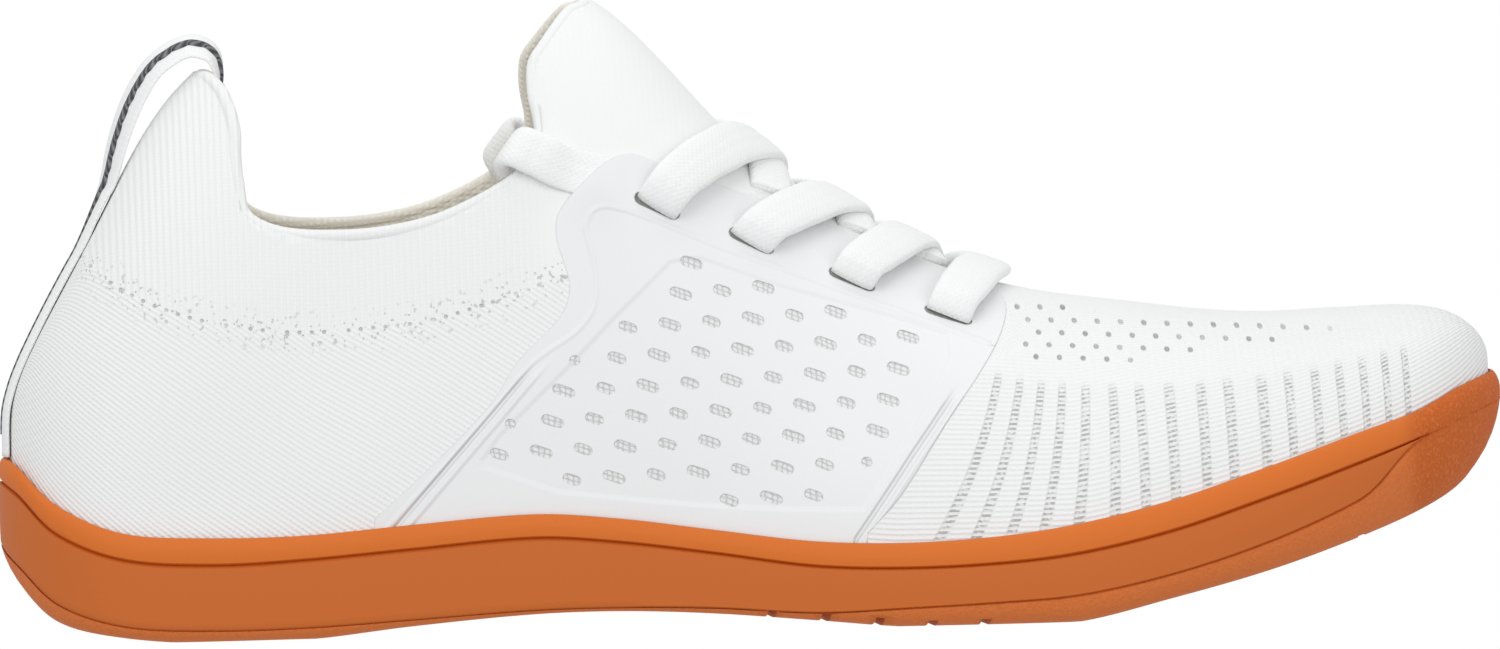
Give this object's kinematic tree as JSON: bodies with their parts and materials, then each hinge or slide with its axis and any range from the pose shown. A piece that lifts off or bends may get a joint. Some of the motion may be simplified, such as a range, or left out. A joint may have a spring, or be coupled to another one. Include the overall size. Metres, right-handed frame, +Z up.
{
  "type": "barefoot shoe",
  "caption": "Low barefoot sneaker for the right foot: white knit bootie with smooth perforated side panels, flat white laces, a heel pull loop and a gum-orange cup sole",
  "frame": {"origin": "On the floor under the middle of the shoe's bounding box", "axes": "+X runs from heel to toe, +Y to the inner side of the foot, +Z up"},
  "size_m": [0.286, 0.1049, 0.1174],
  "materials": {
    "gum_rubber": "Matte moulded gum rubber, orange-brown, pebbled at the toe bumper",
    "lining": "Beige-grey textile",
    "knit": "White flat knit with fine ribs",
    "panel_white": "Smooth satin white film, hot pressed on the knit",
    "lace_white": "Soft white flat woven cord and tape"
  },
  "bodies": {
    "root": {"outsole": "gum_rubber", "insole": "lining", "upper": "knit", "overlay_lateral": "panel_white", "overlay_medial": "panel_white", "lace_crossing_1": "lace_white", "lace_crossing_2": "lace_white", "lace_crossing_3": "lace_white", "lace_bar": "lace_white", "lace_end_lateral": "lace_white", "lace_end_medial": "lace_white", "pull_loop": "lace_white"}
  },
  "joints": []
}
